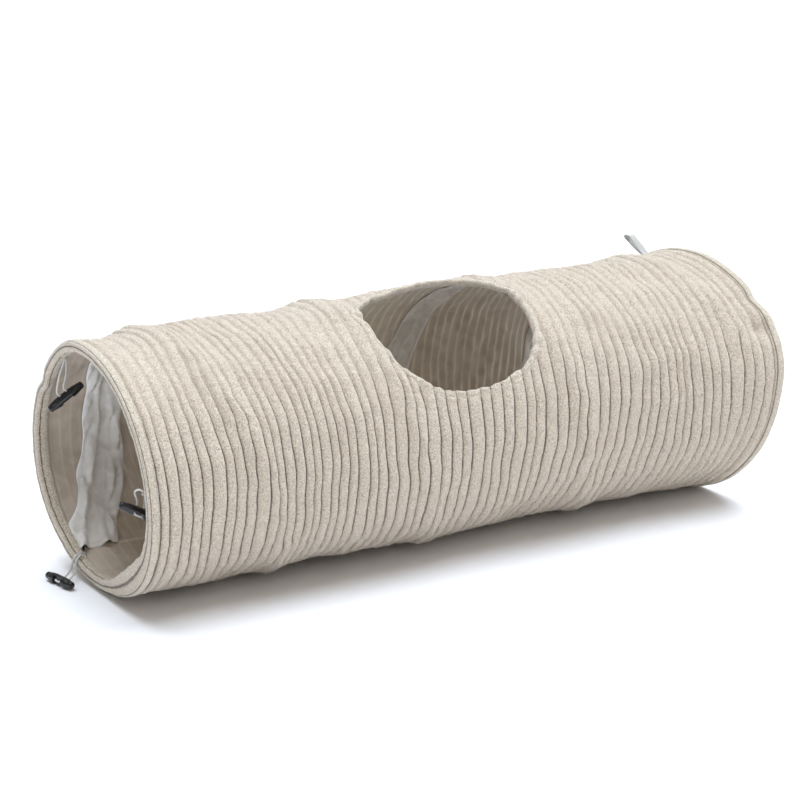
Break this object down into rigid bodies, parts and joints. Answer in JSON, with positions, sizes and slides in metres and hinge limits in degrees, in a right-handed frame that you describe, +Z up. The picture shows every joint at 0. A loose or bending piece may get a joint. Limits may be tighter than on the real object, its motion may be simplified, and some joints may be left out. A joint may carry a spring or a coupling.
{
  "type": "cat tunnel",
  "caption": "Collapsible crawl tunnel for cats: ribbed plush on a spring-wire helix, with an oval peephole, cord toggles at one mouth and ribbon loops at the other.",
  "frame": {"origin": "on the floor, under the middle of the tunnel's length and width", "axes": "+X along the tunnel from the mouth with the toggles to the mouth with the ribbon loops, +Y towards the side away from the peephole, +Z up"},
  "size_m": [0.835, 0.3, 0.2986],
  "materials": {
    "corduroy": "wide-wale plush, matt with a soft sheen",
    "corduroy_hem": "the same plush folded and stitched",
    "lining": "thin plain woven, matt",
    "casing": "light grey woven tape, matt",
    "spring_steel": "drawn wire, satin",
    "clip_steel": "pressed steel, satin",
    "toggle_plastic": "moulded, glossy black",
    "elastic_cord": "round braided elastic",
    "ribbon": "woven ribbon"
  },
  "bodies": {
    "near_end": {"cover": "corduroy", "lining": "lining", "spring_wire": "spring_steel", "wire_casing": "casing", "near_hem": "corduroy_hem", "peephole_hem": "corduroy_hem", "near_wire_clip": "clip_steel"},
    "far_end": {"far_hem": "corduroy_hem", "far_wire_clip": "clip_steel"},
    "toggle_1": {"toggle_1": "toggle_plastic", "toggle_cord_1": "elastic_cord"},
    "toggle_2": {"toggle_2": "toggle_plastic", "toggle_cord_2": "elastic_cord"},
    "toggle_3": {"toggle_3": "toggle_plastic", "toggle_cord_3": "elastic_cord"},
    "fastening_loop_1": {"fastening_loop_1": "ribbon"},
    "fastening_loop_2": {"fastening_loop_2": "ribbon"},
    "fastening_loop_3": {"fastening_loop_3": "ribbon"}
  },
  "joints": [
    {"name": "collapse", "type": "slide", "parent": "near_end", "child": "far_end", "axis": [1, 0, 0], "range_m": [-0.74, 0], "stiffness_N_per_m": 20, "deforming": ["cover", "lining", "spring_wire", "wire_casing", "peephole_hem"]},
    {"name": "toggle_1_swing", "type": "hinge", "parent": "near_end", "child": "toggle_1", "pos_m": [-0.3935, 0.07933, 0.25836], "axis": [0, 0.809, -0.5878], "range_deg": [-50, 60]},
    {"name": "toggle_2_swing", "type": "hinge", "parent": "near_end", "child": "toggle_2", "pos_m": [-0.3935, -0.13422, 0.16329], "axis": [0, 0.1045, 0.9945], "range_deg": [-30, 60]},
    {"name": "toggle_3_swing", "type": "hinge", "parent": "near_end", "child": "toggle_3", "pos_m": [-0.3935, 0.05489, 0.02589], "axis": [0, -0.9135, -0.4067], "range_deg": [-60, 0]},
    {"name": "fastening_loop_1_bend", "type": "hinge", "parent": "far_end", "child": "fastening_loop_1", "pos_m": [0.3935, 0.08868, 0.27124], "axis": [1, 0, 0], "range_deg": [-60, 60], "stiffness_Nm_per_rad": 0.002},
    {"name": "fastening_loop_2_bend", "type": "hinge", "parent": "far_end", "child": "fastening_loop_2", "pos_m": [0.3935, -0.13282, 0.16314], "axis": [1, 0, 0], "range_deg": [-60, 60], "stiffness_Nm_per_rad": 0.002},
    {"name": "fastening_loop_3_bend", "type": "hinge", "parent": "far_end", "child": "fastening_loop_3", "pos_m": [0.3935, 0.05432, 0.02717], "axis": [1, 0, 0], "range_deg": [-60, 60], "stiffness_Nm_per_rad": 0.002}
  ]
}
